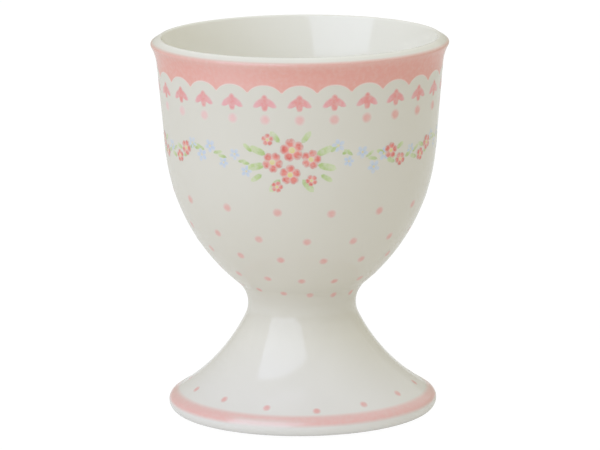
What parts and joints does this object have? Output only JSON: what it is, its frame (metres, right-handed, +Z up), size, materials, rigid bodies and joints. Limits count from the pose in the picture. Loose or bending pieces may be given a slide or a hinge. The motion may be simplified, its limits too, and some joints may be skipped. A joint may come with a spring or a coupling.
{
  "type": "egg cup",
  "caption": "Porcelain egg cup: a round bowl with a rounded, slightly flared lip, stuck with slip to a hollow trumpet foot, glazed, with pink printed borders, dots and a flower garland.",
  "frame": {"origin": "middle of the ring that the cup stands on, at floor level", "axes": "+Z up along the axis of the cup, -Y towards the viewer and the main spray of flowers, +X to the viewer's right"},
  "size_m": [0.0508, 0.0508, 0.0656],
  "materials": {
    "glazed_porcelain": "clear glossy glaze over warm white porcelain"
  },
  "bodies": {
    "root": {"bowl": "glazed_porcelain", "foot": "glazed_porcelain", "luting_slip": "glazed_porcelain"}
  },
  "joints": []
}
